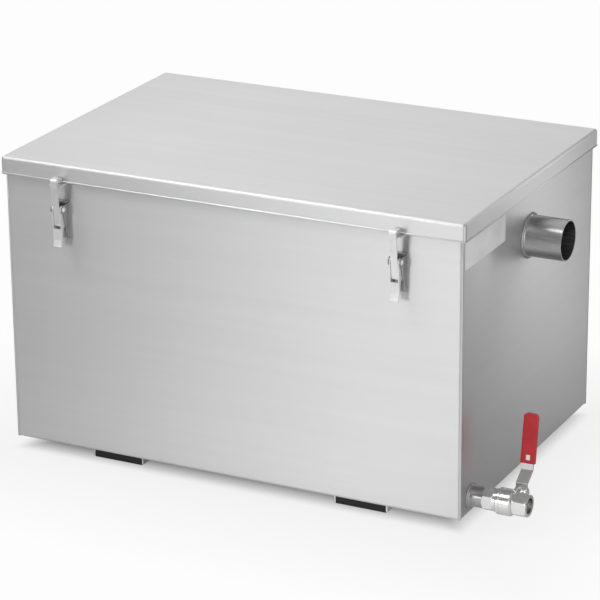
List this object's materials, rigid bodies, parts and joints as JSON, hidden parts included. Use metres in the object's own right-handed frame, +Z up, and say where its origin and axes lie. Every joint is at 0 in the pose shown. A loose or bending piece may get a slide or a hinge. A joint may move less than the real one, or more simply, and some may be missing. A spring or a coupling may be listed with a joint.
{
  "type": "grease trap",
  "caption": "Box-shaped stainless grease trap with a latched lift-off lid, inlet and outlet spigots, a strainer basket, drop-in baffles and a drain ball valve.",
  "frame": {"origin": "on the floor, under the middle of the part's outer box", "axes": "+Z up, front with two latches towards -Y, outlet spigot and drain valve towards +X, inlet spigot towards -X"},
  "size_m": [0.7214, 0.4416, 0.38],
  "materials": {
    "brushed_sheet": "brushed stainless sheet with a fine straight grain",
    "inner_sheet": "plain mill-finish stainless sheet",
    "pipe_steel": "bright drawn stainless tube",
    "latch_steel": "tumbled stainless pressings",
    "plated_valve": "bright nickel plating on brass",
    "lever_steel": "zinc-plated steel strip",
    "red_sleeve": "dipped red vinyl",
    "seat_plastic": "white fluoropolymer",
    "black_rubber": "matt black rubber"
  },
  "bodies": {
    "tank": {"tank": "brushed_sheet", "tank_end_left": "brushed_sheet", "tank_end_right": "brushed_sheet", "inlet_spigot": "pipe_steel", "outlet_spigot": "pipe_steel", "outlet_elbow": "pipe_steel", "solids_basket": "inner_sheet", "basket_handle_front": "brushed_sheet", "basket_handle_back": "brushed_sheet", "basket_rail_front": "brushed_sheet", "basket_rail_back": "brushed_sheet", "inlet_baffle": "inner_sheet", "outlet_baffle": "inner_sheet", "inlet_guide_front": "brushed_sheet", "inlet_guide_back": "brushed_sheet", "outlet_guide_front": "brushed_sheet", "outlet_guide_back": "brushed_sheet", "skid_left": "brushed_sheet", "skid_right": "brushed_sheet", "skid_strip_left": "black_rubber", "skid_strip_right": "black_rubber", "drain_nipple": "pipe_steel", "valve_end": "plated_valve", "valve_body": "plated_valve", "valve_seat_inner": "seat_plastic", "valve_seat_outer": "seat_plastic", "gland_nut": "plated_valve", "latch_base_front_left": "latch_steel", "latch_base_front_right": "latch_steel", "latch_base_back_left": "latch_steel", "latch_base_back_right": "latch_steel", "latch_pivot_pin_front_left": "latch_steel", "latch_pivot_pin_front_right": "latch_steel", "latch_pivot_pin_back_left": "latch_steel", "latch_pivot_pin_back_right": "latch_steel"},
    "lid": {"lid": "brushed_sheet", "lid_gasket": "black_rubber", "latch_keeper_front_left": "latch_steel", "latch_keeper_front_right": "latch_steel", "latch_keeper_back_left": "latch_steel", "latch_keeper_back_right": "latch_steel"},
    "valve_handle": {"valve_ball": "plated_valve", "valve_stem": "plated_valve", "valve_lever": "lever_steel", "lever_nut": "lever_steel", "lever_sleeve": "red_sleeve"},
    "lever_front_left": {"latch_lever_front_left": "latch_steel", "latch_hook_pin_front_left": "latch_steel"},
    "hook_front_left": {"latch_hook_front_left": "latch_steel"},
    "lever_front_right": {"latch_lever_front_right": "latch_steel", "latch_hook_pin_front_right": "latch_steel"},
    "hook_front_right": {"latch_hook_front_right": "latch_steel"},
    "lever_back_left": {"latch_lever_back_left": "latch_steel", "latch_hook_pin_back_left": "latch_steel"},
    "hook_back_left": {"latch_hook_back_left": "latch_steel"},
    "lever_back_right": {"latch_lever_back_right": "latch_steel", "latch_hook_pin_back_right": "latch_steel"},
    "hook_back_right": {"latch_hook_back_right": "latch_steel"}
  },
  "joints": [
    {"name": "lid_lift", "type": "slide", "parent": "tank", "child": "lid", "axis": [0, 0, 1], "range_m": [0, 0.25]},
    {"name": "valve_turn", "type": "hinge", "parent": "tank", "child": "valve_handle", "pos_m": [0.33725, -0.169, 0.036], "axis": [0, 1, 0], "range_deg": [0, 90]},
    {"name": "lever_front_left_turn", "type": "hinge", "parent": "tank", "child": "lever_front_left", "pos_m": [-0.23475, -0.2115, 0.327], "axis": [-1, 0, 0], "range_deg": [0, 80]},
    {"name": "hook_front_left_swing", "type": "hinge", "parent": "lever_front_left", "child": "hook_front_left", "pos_m": [-0.23475, -0.2105, 0.308], "axis": [1, 0, 0], "range_deg": [0, 92]},
    {"name": "lever_front_right_turn", "type": "hinge", "parent": "tank", "child": "lever_front_right", "pos_m": [0.20925, -0.2115, 0.327], "axis": [-1, 0, 0], "range_deg": [0, 80]},
    {"name": "hook_front_right_swing", "type": "hinge", "parent": "lever_front_right", "child": "hook_front_right", "pos_m": [0.20925, -0.2105, 0.308], "axis": [1, 0, 0], "range_deg": [0, 92]},
    {"name": "lever_back_left_turn", "type": "hinge", "parent": "tank", "child": "lever_back_left", "pos_m": [-0.23475, 0.2115, 0.327], "axis": [1, 0, 0], "range_deg": [0, 80]},
    {"name": "hook_back_left_swing", "type": "hinge", "parent": "lever_back_left", "child": "hook_back_left", "pos_m": [-0.23475, 0.2105, 0.308], "axis": [-1, 0, 0], "range_deg": [0, 92]},
    {"name": "lever_back_right_turn", "type": "hinge", "parent": "tank", "child": "lever_back_right", "pos_m": [0.20925, 0.2115, 0.327], "axis": [1, 0, 0], "range_deg": [0, 80]},
    {"name": "hook_back_right_swing", "type": "hinge", "parent": "lever_back_right", "child": "hook_back_right", "pos_m": [0.20925, 0.2105, 0.308], "axis": [-1, 0, 0], "range_deg": [0, 92]}
  ],
  "couplings": [
    {"joint": "hook_front_left_swing", "follows": "lever_front_left_turn", "ratio": 1.15},
    {"joint": "hook_front_right_swing", "follows": "lever_front_right_turn", "ratio": 1.15},
    {"joint": "hook_back_left_swing", "follows": "lever_back_left_turn", "ratio": 1.15},
    {"joint": "hook_back_right_swing", "follows": "lever_back_right_turn", "ratio": 1.15}
  ]
}
